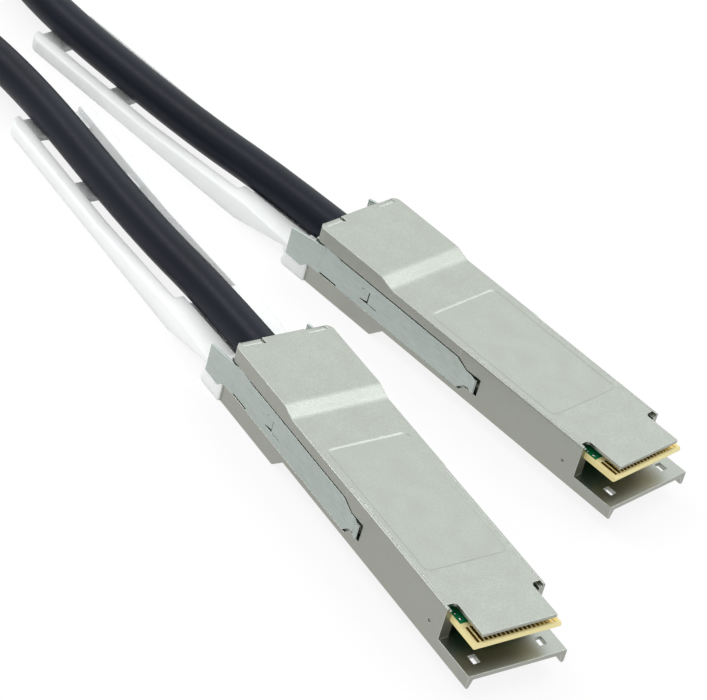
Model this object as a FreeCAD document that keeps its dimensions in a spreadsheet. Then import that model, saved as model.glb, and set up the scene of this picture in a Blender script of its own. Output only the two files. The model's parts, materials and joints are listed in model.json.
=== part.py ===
"""Direct attach copper cable: two quad-lane pluggable plugs on one short round cable.

Each plug is drawn in its own frame: x across, y from the nose (0) towards the cable, z up from the
underside of the narrow body (0). In the model's frame plug A keeps those axes, and the origin is the
middle of the underside of its head, which rests on z = 0. Plug B is the same plug, turned beside it.
"""
import FreeCAD, Part
import math
import os
import Sketcher

Vector = FreeCAD.Vector

# ---------------------------------------------------------------- driving dimensions, in mm and degrees
SIZES = [
    # housing
    ("plug_width", 18.35),        # both halves, and over the latch arms
    ("plug_length", 72.4),
    ("body_height", 8.5),
    ("head_rise", 0.98),          # head above the body's top
    ("head_drop", 2.43),          # head below the body's underside
    ("ramp_back", 18.4),          # from the rear face to where the cover starts to rise
    ("ramp_long", 2.7),
    ("step_back", 18.9),          # from the rear face to where the base starts to drop
    ("step_long", 2.5),
    ("shoulder", 8.6),            # front end of the side walls
    ("side_wall", 1.05),
    ("nose_top", 2.4),            # upper face of the nose plate, and floor of the body
    ("nose_plate", 0.75),
    ("skirt", 1.0),               # ribs along both sides under the nose plate
    ("skirt_taper", 0.5),         # and thinner by this at their lower edge
    ("relief_rear", 13.0),
    ("nose_hole_wide", 1.3),
    ("nose_hole_long", 1.8),
    ("nose_hole_in", 2.975),      # from the side
    ("nose_hole_y", 3.1),
    ("skirt_deep", 1.8),          # cover's skirts meet the base this far under the body's top
    ("split_front", 36.9),        # and start here
    ("rim", 0.5),                 # base wall left outside the cover's front plate
    ("head_wall", 3.2),
    ("ferrule_gap", 0.23),        # between the ferrule and the head's floor
    ("rear_wall", 2.0),
    ("head_corner", 1.5),
    ("floor_slope_back", 21.4),
    ("floor_slope_long", 7.0),
    ("stake_y", 11.6),            # staking dimple in each side
    ("stake_z", 3.6),
    ("stake_radius", 0.35),
    ("stake_deep", 0.25),
    # cover
    ("cover_plate", 0.6),
    ("cover_seam", 0.04),
    ("tongue_in", 2.225),         # tongue's edges, from the sides
    ("tongue_front", 2.2),
    ("notch_rear", 9.5),
    ("notch_radius", 0.75),
    ("skirt_wall", 0.9),
    ("label_in", 1.425),
    ("label_front", 16.7),
    ("label_rear", 46.1),
    ("label_deep", 0.12),
    ("label_radius", 1.2),
    ("hook_long", 1.2),           # shallow pads over the cover's two rear hooks
    ("hook_in", 1.075),
    ("hook_wide", 3.9),
    ("hook_deep", 0.18),
    ("slit_wide", 0.35),
    ("slit_long", 1.4),
    ("slit_deep", 0.7),
    # paddle card and what is soldered to it
    ("card_side_gap", 0.125),
    ("card_thick", 1.0),
    ("card_under", 2.63),         # card's underside below the body's top
    ("card_front", 1.8),
    ("card_rear", 35.0),
    ("card_gap", 0.1),
    ("ledge", 0.9),
    ("pad_count", 19),
    ("pad_edge", 0.8),            # middle of the end pads, from the card's sides
    ("pad_wide", 0.5),
    ("pad_long", 3.4),
    ("pad_thick", 0.05),
    ("pad_setback", 0.5),
    ("capacitor_count", 8),
    ("capacitor_pitch", 1.7),
    ("capacitor_wide", 0.5),
    ("capacitor_long", 1.0),
    ("capacitor_tall", 0.5),
    ("capacitor_front", 18.0),
    ("chip_wide", 4.4),
    ("chip_long", 3.0),
    ("chip_tall", 0.85),
    ("chip_front", 24.0),
    # cores, holder and ferrule
    ("core_wide", 2.1),
    ("core_tall", 1.0),
    ("core_side", 0.575),         # between the outer pairs and the head's walls
    ("core_lap", 3.0),
    ("holder_long", 3.6),
    ("ferrule_long", 6.0),
    ("ferrule_wall", 0.6),
    # latch
    ("arm_thick", 0.4),
    ("arm_gap", 0.05),
    ("arm_under", 0.15),          # between the cover's skirts and the arm
    ("arm_bottom", 1.15),
    ("arm_shoulder", 37.2),
    ("arm_neck", 34.6),
    ("tip_front", 32.4),
    ("tip_under", 1.25),          # tip's upper edge below the arm's
    ("tip_over", 1.45),           # tip's lower edge above the arm's
    ("tip_flare", 0.55),
    ("tip_pocket", 0.8),
    ("arm_bend_back", 3.0),       # from the rear face to where the arms step outwards
    ("arm_bend_long", 0.6),
    ("arm_bend_out", 0.25),
    ("arm_close", 0.03),          # between the cover's skirts and the arm's raised rear end
    ("arm_close_long", 6.4),
    ("arm_notch_long", 3.9),      # low notch in the arm's lower edge, up to the bend
    ("arm_notch_tall", 0.3),
    ("flap_dip", 0.3),            # flap in the window, pressed in at its front end
    ("flap_gap", 0.15),
    ("flap_front", 0.45),
    ("flap_slit", 2.1),           # slit that runs on from the window's lower edge
    ("bracket_gap", 0.03),        # behind the head
    ("bracket_long", 5.2),
    ("bracket_low", -1.5),
    ("bracket_under", 1.2),       # bracket's upper edge below the arm's
    ("seat_back", 12.1),          # from the rear face to the lanced spring seat's
    ("seat_long", 1.9),           # window the seat was bent out of
    ("seat_under", 1.65),         # seat's upper edge below the arm's
    ("seat_tall", 2.3),
    ("seat_reach", 1.9),
    ("latch_travel", 3.5),
    # return springs
    ("spring_back", 4.4),         # from the rear face to the pocket's end
    ("spring_radius", 0.8),
    ("wire_radius", 0.17),
    ("spring_turns", 6),
    # cable
    ("cable_diameter", 6.6),
    ("cable_gap", 0.1),
    ("cable_inside", 10.4),       # length of cable inside the housing
    ("bar_gap", 0.38),            # between the cable and the tab's bars
    # pull tab
    ("tab_in", 0.775),            # rails' outer faces, from the housing's sides
    ("tab_long", 77.0),           # from the housing's rear face
    ("tab_top", 0.1),
    ("tab_base_top", 1.5),        # tab is thickest over its base's rear end
    ("tab_neck_top", 1.0),
    ("tab_slope_back", 40.2),     # and thins out to its plain rails here, behind the bracket
    ("tab_cheek", 0.15),          # moulding stands this proud of the bracket
    ("tab_cheek_top", 0.1),
    ("tab_block_top", 1.9),
    ("tab_neck_back", 1.4),       # behind the bracket
    ("tab_neck_low", -1.7),       # under the keel
    ("tab_keel_side", 1.3),       # keel is wider than the trough by this on each side
    ("tab_kink_back", 14.8),      # behind the bracket
    ("tab_base_back", 16.7),      # behind the bracket
    ("tab_rail", 2.4),
    ("tab_bar_ahead", 23.4),      # middle bar, ahead of the tab's end
    ("tab_bar_long", 4.2),
    ("tab_end_bar", 5.2),
    ("tab_bar_thick", 1.2),
    ("tab_corner", 3.0),
    ("trough_side", 1.6),         # between the cable and the trough's sides
    ("trough_lift", 0.4),
    ("trough_taper", 2.5),        # the trough narrows towards the housing by this angle
    # plug B beside plug A
    ("plug_b_x", 44.7),
    ("plug_b_y", 27.0),
    ("plug_b_angle", 11.1),
]

# What follows from the sizes above: the head hangs from the rear face, and what stands across or over
# the plug is set in from its sides and its top.
FOLLOWS = [
    ("ramp_front", "plug_length - ramp_back"),
    ("ramp_rear", "ramp_front + ramp_long"),
    ("step_front", "plug_length - step_back"),
    ("step_rear", "step_front + step_long"),
    ("floor_slope_front", "plug_length - floor_slope_back"),
    ("floor_slope_rear", "floor_slope_front + floor_slope_long"),
    ("split_height", "body_height - skirt_deep"),
    ("nose_hole_x", "plug_width / 2 - nose_hole_in"),
    ("tongue_width", "plug_width - 2 * tongue_in"),
    ("label_width", "plug_width - 2 * label_in"),
    ("hook_front", "plug_length - hook_long"),
    ("hook_outer", "plug_width / 2 - hook_in"),
    ("hook_inner", "hook_outer - hook_wide"),
    ("slit_front", "plug_length - slit_long"),
    ("card_width", "plug_width - 2 * side_wall - 2 * card_side_gap"),
    ("card_bottom", "body_height - card_under"),
    ("card_top", "card_bottom + card_thick"),
    ("pad_pitch", "(card_width - 2 * pad_edge) / (pad_count - 1)"),
    ("core_pitch", "(plug_width - 2 * head_wall - 2 * core_side - core_wide) / 3"),
    ("cable_axis", "split_height - cable_gap - cable_diameter / 2"),
    ("head_floor", "head_drop + cable_axis - cable_diameter / 2 - ferrule_wall - ferrule_gap"),
    ("trough_radius", "cable_diameter / 2 + trough_side"),
    ("trough_axis", "cable_axis + trough_lift"),
    ("cable_start", "plug_length - cable_inside"),
    ("holder_front", "cable_start - holder_long"),
    ("arm_top", "split_height - arm_under"),
    ("arm_bend", "plug_length - arm_bend_back"),
    ("bracket_top", "arm_top - bracket_under"),
    ("tip_top", "arm_top - tip_under"),
    ("tip_bottom", "arm_bottom + tip_over"),
    ("seat_top", "arm_top - seat_under"),
    ("seat_bottom", "seat_top - seat_tall"),
    ("seat_rear", "plug_length - seat_back"),
    ("spring_pocket_rear", "plug_length - spring_back"),
    ("bracket_front", "plug_length + bracket_gap"),
    ("bracket_rear", "bracket_front + bracket_long"),
    ("tab_width", "plug_width - 2 * tab_in"),
    ("tab_end", "plug_length + tab_long"),
    ("tab_neck_front", "bracket_rear + tab_neck_back"),
    ("tab_kink", "bracket_rear + tab_kink_back"),
    ("tab_slope_rear", "bracket_rear + tab_slope_back"),
    ("tab_base_rear", "bracket_rear + tab_base_back"),
    ("tab_bar_front", "tab_end - tab_bar_ahead"),
    ("tab_bar_rear", "tab_bar_front + tab_bar_long"),
]

doc = FreeCAD.newDocument("direct_attach_cable")
dims = doc.addObject("Spreadsheet::Sheet", "dims")
for row, (alias, value) in enumerate(SIZES + FOLLOWS, start=1):
    dims.set(f"A{row}", alias)
    dims.set(f"B{row}", f"={value}" if isinstance(value, str) else str(value))
    dims.setAlias(f"B{row}", alias)
doc.recompute()


def size(expression):
    """A number from the sheet, or from an expression in its cells."""
    return float(dims.evalExpression(expression))


# ---------------------------------------------------------------- helpers for sketches and features
def new_body(label):
    body = doc.addObject("PartDesign::Body", label)
    body.Label = label
    return body


def new_sketch(body, plane, height=None):
    """An empty sketch on one of the body's own origin planes, moved along its normal by height."""
    sketch = body.newObject("Sketcher::SketchObject", body.Label + "_sketch")
    origin = [f for f in body.Origin.OriginFeatures if f.Role == plane][0]
    sketch.AttachmentSupport = [(origin, "")]
    sketch.MapMode = "FlatFace"
    if height:
        sketch.setExpression("AttachmentOffset.Base.z", height)
    return sketch


def add_polygon(sketch, corners):
    """A closed outline whose corners are each held by two expressions."""
    first = sketch.GeometryCount
    count = len(corners)
    points = [Vector(size(x), size(y), 0) for x, y in corners]
    for i in range(count):
        sketch.addGeometry(Part.LineSegment(points[i], points[(i + 1) % count]), False)
    for i in range(count):
        sketch.addConstraint(Sketcher.Constraint("Coincident", first + i, 2, first + (i + 1) % count, 1))
    for i, (x, y) in enumerate(corners):
        held = [("DistanceX", x, points[i].x), ("DistanceY", y, points[i].y)]
        for kind, expression, start in held:
            index = sketch.addConstraint(Sketcher.Constraint(kind, -1, 1, first + i, 1, start))
            sketch.setExpression(f"Constraints[{index}]", expression)


def add_rectangle(sketch, low, high):
    add_polygon(sketch, [low, (high[0], low[1]), high, (low[0], high[1])])


def add_circle(sketch, centre, radius):
    middle = Vector(size(centre[0]), size(centre[1]), 0)
    index = sketch.addGeometry(Part.Circle(middle, Vector(0, 0, 1), size(radius)), False)
    held = [
        ("DistanceX", centre[0], (-1, 1, index, 3, middle.x)),
        ("DistanceY", centre[1], (-1, 1, index, 3, middle.y)),
        ("Radius", radius, (index, size(radius))),
    ]
    for kind, expression, where in held:
        constraint = sketch.addConstraint(Sketcher.Constraint(kind, *where))
        sketch.setExpression(f"Constraints[{constraint}]", expression)


def pad(body, sketch, length, symmetric=False, backwards=False):
    """Adds a prism along the sketch's normal, or against it when backwards, and makes sure that it grew."""
    before = 0 if body.Shape.isNull() else body.Shape.Volume
    feature = body.newObject("PartDesign::Pad", body.Label + "_pad")
    feature.Profile = sketch
    feature.setExpression("Length", length)
    if symmetric:
        feature.SideType = "Symmetric"
    feature.Reversed = backwards
    doc.recompute()
    if not body.Shape.Volume > before + 1e-6:
        raise RuntimeError(f"a pad of {body.Label} added nothing: {feature.State} {sketch.State}")
    return feature


def pocket(body, sketch, length, symmetric=False, forwards=False):
    """Cuts against the sketch's normal, or along it when forwards, and makes sure that it cut."""
    before = body.Shape.Volume
    feature = body.newObject("PartDesign::Pocket", body.Label + "_pocket")
    feature.Profile = sketch
    feature.setExpression("Length", length)
    if symmetric:
        feature.SideType = "Symmetric"
    feature.Reversed = forwards
    doc.recompute()
    if not body.Shape.Volume < before - 1e-6:
        raise RuntimeError(f"a pocket of {body.Label} cut nothing: {feature.State} {sketch.State}")
    return feature


def edges_where(shape, test):
    return [f"Edge{i}" for i, edge in enumerate(shape.Edges, start=1) if test(edge)]


def fillet(body, radius, test):
    """Rounds the edges of the body's shape that pass the test."""
    names = edges_where(body.Shape, test)
    if not names:
        raise RuntimeError(f"no edge to round on {body.Label}")
    before = body.Tip
    feature = body.newObject("PartDesign::Fillet", body.Label + "_fillet")
    feature.Base = (before, names)
    feature.setExpression("Radius", radius)
    doc.recompute()
    return feature


def chamfer(body, width, test):
    names = edges_where(body.Shape, test)
    if not names:
        raise RuntimeError(f"no edge to chamfer on {body.Label}")
    before = body.Tip
    feature = body.newObject("PartDesign::Chamfer", body.Label + "_chamfer")
    feature.Base = (before, names)
    feature.setExpression("Size", width)
    doc.recompute()
    return feature


def runs_along(edge, axis):
    """True for a straight edge parallel to x (0), y (1) or z (2)."""
    if not isinstance(edge.Curve, (Part.Line, Part.LineSegment)):
        return False
    a, b = (vertex.Point for vertex in edge.Vertexes)
    span = b - a
    return abs(span[axis]) > 0.999 * span.Length


def near(number, expression, slack=0.01):
    return abs(number - size(expression)) < slack


# ---------------------------------------------------------------- housing
HALF = "dims.plug_width / 2"
HEAD_TOP = "dims.body_height + dims.head_rise"
BAY_HALF = "dims.plug_width / 2 - dims.side_wall"
CHANNEL_X = "dims.plug_width / 2 - dims.arm_thick - dims.arm_gap"


def make_base_shell(label):
    """Die-cast lower half: nose plate, body tray with card ledges, and the deeper head."""
    body = new_body(label)
    side = new_sketch(body, "YZ_Plane")
    add_polygon(side, [
        ("0", "0"), ("dims.step_front", "0"), ("dims.step_rear", "-dims.head_drop"),
        ("dims.plug_length", "-dims.head_drop"), ("dims.plug_length", "dims.split_height"),
        ("dims.split_front", "dims.split_height"), ("dims.split_front", "dims.body_height"),
        ("dims.shoulder", "dims.body_height"), ("dims.shoulder", "dims.nose_top"), ("0", "dims.nose_top"),
    ])
    pad(body, side, "dims.plug_width", symmetric=True)

    above = "dims.body_height + 1"
    ahead = "dims.shoulder - 1"
    rebate = new_sketch(body, "YZ_Plane")
    add_rectangle(rebate, (ahead, "dims.body_height - dims.cover_plate"), ("dims.split_front + 1", above))
    pocket(body, rebate, "dims.plug_width - 2 * dims.rim", symmetric=True)

    card_bay = new_sketch(body, "YZ_Plane")
    add_rectangle(card_bay, (ahead, "dims.card_bottom"), ("dims.card_rear + dims.card_gap", above))
    pocket(body, card_bay, "dims.plug_width - 2 * dims.side_wall", symmetric=True)

    core_bay = new_sketch(body, "YZ_Plane")
    add_rectangle(core_bay, (ahead, "dims.nose_top"), ("dims.split_front + 1", above))
    pocket(body, core_bay, "dims.plug_width - 2 * dims.side_wall - 2 * dims.ledge", symmetric=True)

    head_bay = new_sketch(body, "YZ_Plane")
    rear_face = "dims.plug_length - dims.rear_wall"
    add_polygon(head_bay, [
        ("dims.split_front", "dims.nose_top"), ("dims.floor_slope_front", "dims.nose_top"),
        ("dims.floor_slope_rear", "dims.head_floor - dims.head_drop"),
        (rear_face, "dims.head_floor - dims.head_drop"), (rear_face, above), ("dims.split_front", above),
    ])
    pocket(body, head_bay, "dims.plug_width - 2 * dims.head_wall", symmetric=True)

    slot = new_sketch(body, "XZ_Plane", "-dims.plug_length - 1")
    grip = "dims.cable_diameter / 2 + dims.cable_gap"
    add_circle(slot, ("0", "dims.cable_axis"), grip)
    pocket(body, slot, "dims.rear_wall + 2", forwards=True)
    throat = new_sketch(body, "XZ_Plane", "-dims.plug_length - 1")
    add_rectangle(throat, (f"-({grip})", "dims.cable_axis"), (grip, above))
    pocket(body, throat, "dims.rear_wall + 2", forwards=True)

    relief = new_sketch(body, "XZ_Plane", "1")
    inner = "dims.plug_width / 2 - dims.skirt"
    relief_top = "dims.nose_top - dims.nose_plate"
    add_polygon(relief, [
        (f"-({inner} + dims.skirt_taper)", "0"), (f"{inner} + dims.skirt_taper", "0"),
        (inner, relief_top), (f"-({inner})", relief_top),
    ])
    pocket(body, relief, "dims.relief_rear + 1")

    holes = new_sketch(body, "XY_Plane", "dims.nose_top + 1")
    for sign in ("-", ""):
        middle = f"{sign}dims.nose_hole_x"
        add_rectangle(
            holes,
            (f"{middle} - dims.nose_hole_wide / 2", "dims.nose_hole_y - dims.nose_hole_long / 2"),
            (f"{middle} + dims.nose_hole_wide / 2", "dims.nose_hole_y + dims.nose_hole_long / 2"),
        )
    pocket(body, holes, "dims.nose_plate + 2")

    pocket_low = "dims.arm_bottom - dims.arm_gap"
    tip_back = "dims.arm_neck + dims.arm_gap"
    tip_ahead = "dims.tip_front - 1"
    tip_over = "dims.tip_top + 0.3"
    tip_under = "dims.tip_bottom - 0.3"
    seat_under = "dims.seat_bottom - 0.1"
    seat_over = "dims.seat_top + 0.1"
    stake_x = "dims.plug_width / 2 - dims.stake_deep"
    for sign, outwards in (("-", False), ("", True)):
        channel = new_sketch(body, "YZ_Plane", f"{sign}({CHANNEL_X})")
        add_polygon(channel, [
            (tip_ahead, tip_under), ("dims.arm_neck - 0.5", tip_under), ("dims.arm_neck + 0.6", pocket_low),
            ("dims.plug_length + 1", pocket_low), ("dims.plug_length + 1", above),
            ("dims.split_front", above), ("dims.split_front", "dims.split_height"),
            (tip_back, tip_over), (tip_ahead, tip_over),
        ])
        pocket(body, channel, "dims.arm_thick + dims.arm_gap + 1", forwards=outwards)
        tip_hollow = new_sketch(body, "YZ_Plane", f"{sign}({CHANNEL_X} - dims.tip_pocket)")
        add_rectangle(tip_hollow, (tip_ahead, tip_under), (tip_back, tip_over))
        pocket(body, tip_hollow, "dims.tip_pocket + 1", forwards=outwards)
        spring_bay = new_sketch(body, "YZ_Plane", f"{sign}({CHANNEL_X} - dims.seat_reach - 0.4)")
        add_rectangle(
            spring_bay, ("dims.seat_rear - dims.seat_long - 0.6", seat_under), ("dims.spring_pocket_rear", seat_over)
        )
        pocket(body, spring_bay, "dims.seat_reach + 2", forwards=outwards)
        stake = new_sketch(body, "YZ_Plane", f"{sign}({stake_x})")
        add_circle(stake, ("dims.stake_y", "dims.stake_z"), "dims.stake_radius")
        pocket(body, stake, "dims.stake_deep + 1", forwards=outwards)
    return body


def make_top_cover(label):
    """Pressed and cast lid: flat front plate with a tongue over the card, ramp, and raised head."""
    body = new_body(label)
    plate_half = "dims.plug_width / 2 - dims.rim - dims.cover_seam"
    tongue = "dims.tongue_width / 2"
    plate = new_sketch(body, "XY_Plane", "dims.body_height - dims.cover_plate")
    add_polygon(plate, [
        (f"-{tongue}", "dims.tongue_front"), (tongue, "dims.tongue_front"), (tongue, "dims.notch_rear"),
        (plate_half, "dims.notch_rear"), (plate_half, "dims.split_front + 1"),
        (f"-({plate_half})", "dims.split_front + 1"), (f"-({plate_half})", "dims.notch_rear"),
        (f"-{tongue}", "dims.notch_rear"),
    ])
    pad(body, plate, "dims.cover_plate")
    fillet(body, "dims.notch_radius", lambda e: runs_along(e, 2) and near(e.CenterOfMass.y, "dims.notch_rear")
           and near(abs(e.CenterOfMass.x), tongue))

    side = new_sketch(body, "YZ_Plane")
    add_polygon(side, [
        ("dims.split_front", "dims.split_height"), ("dims.plug_length", "dims.split_height"),
        ("dims.plug_length", HEAD_TOP), ("dims.ramp_rear", HEAD_TOP), ("dims.ramp_front", "dims.body_height"),
        ("dims.split_front", "dims.body_height"),
    ])
    pad(body, side, "dims.plug_width", symmetric=True)

    below = "dims.split_height - 1"
    rear_face = "dims.plug_length - dims.rear_wall"
    hollow = new_sketch(body, "YZ_Plane")
    add_polygon(hollow, [
        ("dims.split_front - 1", below), (rear_face, below), (rear_face, f"{HEAD_TOP} - dims.skirt_wall"),
        ("dims.ramp_rear + 0.3", f"{HEAD_TOP} - dims.skirt_wall"),
        ("dims.ramp_front + 0.3", "dims.body_height - dims.cover_plate"),
        ("dims.split_front - 1", "dims.body_height - dims.cover_plate"),
    ])
    pocket(body, hollow, "dims.plug_width - 2 * dims.skirt_wall", symmetric=True)

    fillet(body, "dims.head_corner", lambda e: runs_along(e, 2) and near(e.CenterOfMass.y, "dims.plug_length")
           and near(abs(e.CenterOfMass.x), HALF))

    label = new_sketch(body, "XY_Plane", "dims.body_height + 1")
    add_rectangle(
        label, ("-dims.label_width / 2", "dims.label_front"), ("dims.label_width / 2", "dims.label_rear")
    )
    pocket(body, label, "dims.label_deep + 1")
    fillet(body, "dims.label_radius", lambda e: runs_along(e, 2)
           and near(abs(e.CenterOfMass.x), "dims.label_width / 2")
           and near(e.CenterOfMass.z, "dims.body_height - dims.label_deep / 2"))

    hooks = new_sketch(body, "XY_Plane", f"{HEAD_TOP} + 1")
    add_rectangle(hooks, ("-dims.hook_outer", "dims.hook_front"), ("-dims.hook_inner", "dims.plug_length + 1"))
    add_rectangle(hooks, ("dims.hook_inner", "dims.hook_front"), ("dims.hook_outer", "dims.plug_length + 1"))
    pocket(body, hooks, "dims.hook_deep + 1")
    slit = new_sketch(body, "XY_Plane", f"{HEAD_TOP} + 1")
    add_rectangle(
        slit, ("-dims.hook_inner", "dims.slit_front"),
        ("-dims.hook_inner + dims.slit_wide", "dims.plug_length + 1"),
    )
    pocket(body, slit, "dims.slit_deep + 1")
    return body


# ---------------------------------------------------------------- paddle card
def make_paddle_card(label):
    body = new_body(label)
    outline = new_sketch(body, "XY_Plane", "dims.card_bottom")
    add_rectangle(outline, ("-dims.card_width / 2", "dims.card_front"), ("dims.card_width / 2", "dims.card_rear"))
    pad(body, outline, "dims.card_thick")
    chamfer(body, "0.25", lambda e: runs_along(e, 0) and near(e.CenterOfMass.y, "dims.card_front"))
    return body


def make_contact_pads(label, upper):
    """One row of gold pads: a first pad copied across the card by a linear pattern."""
    body = new_body(label)
    base = "dims.card_top" if upper else "dims.card_bottom - dims.pad_thick"
    first = new_sketch(body, "XY_Plane", base)
    start = "-(dims.pad_count - 1) * dims.pad_pitch / 2"
    front = "dims.card_front + dims.pad_setback"
    add_rectangle(
        first, (f"{start} - dims.pad_wide / 2", front), (f"{start} + dims.pad_wide / 2", f"{front} + dims.pad_long")
    )
    feature = pad(body, first, "dims.pad_thick")
    repeat_across(body, feature, "dims.pad_count", "dims.pad_pitch")
    return body


def repeat_across(body, feature, count, pitch):
    """A linear pattern along x; the copies stay separate solids of one body."""
    body.AllowCompound = True
    pattern = body.newObject("PartDesign::LinearPattern", body.Label + "_row")
    pattern.Originals = [feature]
    x_axis = [f for f in body.Origin.OriginFeatures if f.Role == "X_Axis"][0]
    pattern.Direction = (x_axis, [""])
    pattern.setExpression("Occurrences", count)
    pattern.setExpression("Length", f"({count} - 1) * {pitch}")
    body.Tip = pattern
    doc.recompute()


def make_capacitors(label):
    body = new_body(label)
    first = new_sketch(body, "XY_Plane", "dims.card_top")
    start = "-(dims.capacitor_count - 1) * dims.capacitor_pitch / 2"
    add_rectangle(
        first, (f"{start} - dims.capacitor_wide / 2", "dims.capacitor_front"),
        (f"{start} + dims.capacitor_wide / 2", "dims.capacitor_front + dims.capacitor_long"),
    )
    feature = pad(body, first, "dims.capacitor_tall")
    repeat_across(body, feature, "dims.capacitor_count", "dims.capacitor_pitch")
    return body


def make_memory_chip(label):
    body = new_body(label)
    outline = new_sketch(body, "XY_Plane", "dims.card_top")
    add_rectangle(
        outline, ("-dims.chip_wide / 2", "dims.chip_front"), ("dims.chip_wide / 2", "dims.chip_front + dims.chip_long")
    )
    pad(body, outline, "dims.chip_tall")
    return body


# ---------------------------------------------------------------- cores, holder and ferrule
def make_core_pairs(label):
    """Eight shielded pairs, four soldered to each side of the card, running back to the holder."""
    body = new_body(label)
    body.AllowCompound = True
    over = "dims.card_top"
    for base in (over, "dims.card_bottom - dims.core_tall"):
        row = new_sketch(body, "XY_Plane", base)
        for step in ("-1.5", "-0.5", "0.5", "1.5"):
            middle = f"{step} * dims.core_pitch"
            add_rectangle(
                row, (f"{middle} - dims.core_wide / 2", "dims.card_rear - dims.core_lap"),
                (f"{middle} + dims.core_wide / 2", "dims.holder_front"),
            )
        pad(body, row, "dims.core_tall")
    return body


def make_core_holder(label):
    """Moulded block that grips the pairs where they leave the jacket."""
    body = new_body(label)
    face = new_sketch(body, "XZ_Plane", "-dims.holder_front")
    half = "dims.plug_width / 2 - dims.head_wall"
    add_rectangle(
        face, (f"-({half})", "dims.head_floor - dims.head_drop"), (half, "dims.card_top + dims.core_tall")
    )
    pad(body, face, "dims.cable_start - dims.holder_front", backwards=True)
    return body


def make_ferrule(label):
    """Crimped ring round the jacket, behind the holder."""
    body = new_body(label)
    ring = new_sketch(body, "XZ_Plane", "-dims.cable_start")
    add_circle(ring, ("0", "dims.cable_axis"), "dims.cable_diameter / 2 + dims.ferrule_wall")
    add_circle(ring, ("0", "dims.cable_axis"), "dims.cable_diameter / 2")
    pad(body, ring, "dims.ferrule_long", backwards=True)
    return body


# ---------------------------------------------------------------- latch, pull tab and springs
def make_latch(label):
    """One steel stamping: two side arms, their flared tips and spring seats, and the strap behind the head."""
    body = new_body(label)
    inner = "dims.plug_width / 2 - dims.arm_thick"
    notch_top = "dims.arm_bottom + dims.arm_notch_tall"
    notch_front = "dims.arm_bend - dims.arm_notch_long"
    close_front = "dims.plug_length - dims.arm_close_long"
    close_top = "dims.split_height - dims.arm_close"
    bend_rear = "dims.arm_bend + dims.arm_bend_long"
    for sign in ("-", ""):
        arm = new_sketch(body, "YZ_Plane", f"-({HALF})" if sign else inner)
        add_polygon(arm, [
            ("dims.tip_front + 0.9", "dims.tip_bottom"), ("dims.arm_neck - 0.2", "dims.tip_bottom"),
            ("dims.arm_neck + 1.2", "dims.arm_bottom"), (notch_front, "dims.arm_bottom"),
            (notch_front, notch_top), ("dims.arm_bend", notch_top), ("dims.arm_bend", close_top),
            (close_front, close_top), (close_front, "dims.arm_top"), ("dims.arm_shoulder", "dims.arm_top"),
            ("dims.arm_neck", "dims.tip_top"), ("dims.tip_front + 0.9", "dims.tip_top"),
        ])
        pad(body, arm, "dims.arm_thick")
        bend = new_sketch(body, "XY_Plane", "dims.arm_bottom")
        add_polygon(bend, [
            (f"{sign}({inner})", "dims.arm_bend"), (f"{sign}({HALF})", "dims.arm_bend"),
            (f"{sign}({HALF} + dims.arm_bend_out)", bend_rear),
            (f"{sign}({inner} + dims.arm_bend_out)", bend_rear),
        ])
        pad(body, bend, f"{close_top} - dims.arm_bottom")
        cheek = new_sketch(
            body, "YZ_Plane", f"-({HALF} + dims.arm_bend_out)" if sign else f"{inner} + dims.arm_bend_out"
        )
        add_polygon(cheek, [
            (bend_rear, "dims.arm_bottom"), ("dims.bracket_front", "dims.arm_bottom"),
            ("dims.bracket_front", "dims.bracket_low"), ("dims.bracket_rear - 1", "dims.bracket_low"),
            ("dims.bracket_rear", "dims.bracket_low + 1.5"), ("dims.bracket_rear", "dims.bracket_top"),
            (bend_rear, close_top),
        ])
        pad(body, cheek, "dims.arm_thick")
        if not sign:
            continue
        strap = new_sketch(body, "XY_Plane", "dims.bracket_low")
        strap_half = f"{HALF} + dims.arm_bend_out"
        add_rectangle(
            strap, (f"-({strap_half})", "dims.bracket_front + 0.5"), (strap_half, "dims.bracket_rear - 1")
        )
        pad(body, strap, "dims.arm_thick")
    window_rear = "dims.seat_rear - dims.arm_thick"
    window_front = f"{window_rear} - dims.seat_long"
    for sign in ("-", ""):
        window = new_sketch(body, "YZ_Plane", f"-({HALF} + 1)" if sign else f"{inner} - 1")
        add_polygon(window, [
            (f"{window_front} - dims.flap_slit", "dims.seat_bottom"), (window_rear, "dims.seat_bottom"),
            (window_rear, "dims.seat_top"), (window_front, "dims.seat_top"),
            (window_front, "dims.seat_bottom + dims.flap_gap"),
            (f"{window_front} - dims.flap_slit", "dims.seat_bottom + dims.flap_gap"),
        ])
        pocket(body, window, "dims.arm_thick + 2", forwards=True)
        flap = new_sketch(body, "XY_Plane", "dims.seat_bottom + dims.flap_gap")
        add_polygon(flap, [
            (f"{sign}({inner})", window_rear), (f"{sign}({HALF})", window_rear),
            (f"{sign}({HALF} - dims.flap_dip)", f"{window_front} + dims.flap_front"),
            (f"{sign}({inner} - dims.flap_dip)", f"{window_front} + dims.flap_front"),
        ])
        pad(body, flap, "dims.seat_tall - 2 * dims.flap_gap")
        seat = new_sketch(body, "XY_Plane", "dims.seat_bottom")
        root = f"{sign}({HALF} - dims.arm_thick / 2)"
        reach = f"{sign}({inner} - dims.seat_reach)"
        add_rectangle(
            seat, (root, window_rear), (reach, "dims.seat_rear")
        )
        pad(body, seat, "dims.seat_tall")
        tip = new_sketch(body, "XY_Plane", "dims.tip_bottom")
        add_polygon(tip, [
            (f"{sign}({inner})", "dims.tip_front + 1.1"), (f"{sign}({HALF})", "dims.tip_front + 1.1"),
            (f"{sign}({HALF} + dims.tip_flare)", "dims.tip_front + 0.2"),
            (f"{sign}({inner} + dims.tip_flare)", "dims.tip_front"),
        ])
        pad(body, tip, "dims.tip_top - dims.tip_bottom")
    return body


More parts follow.
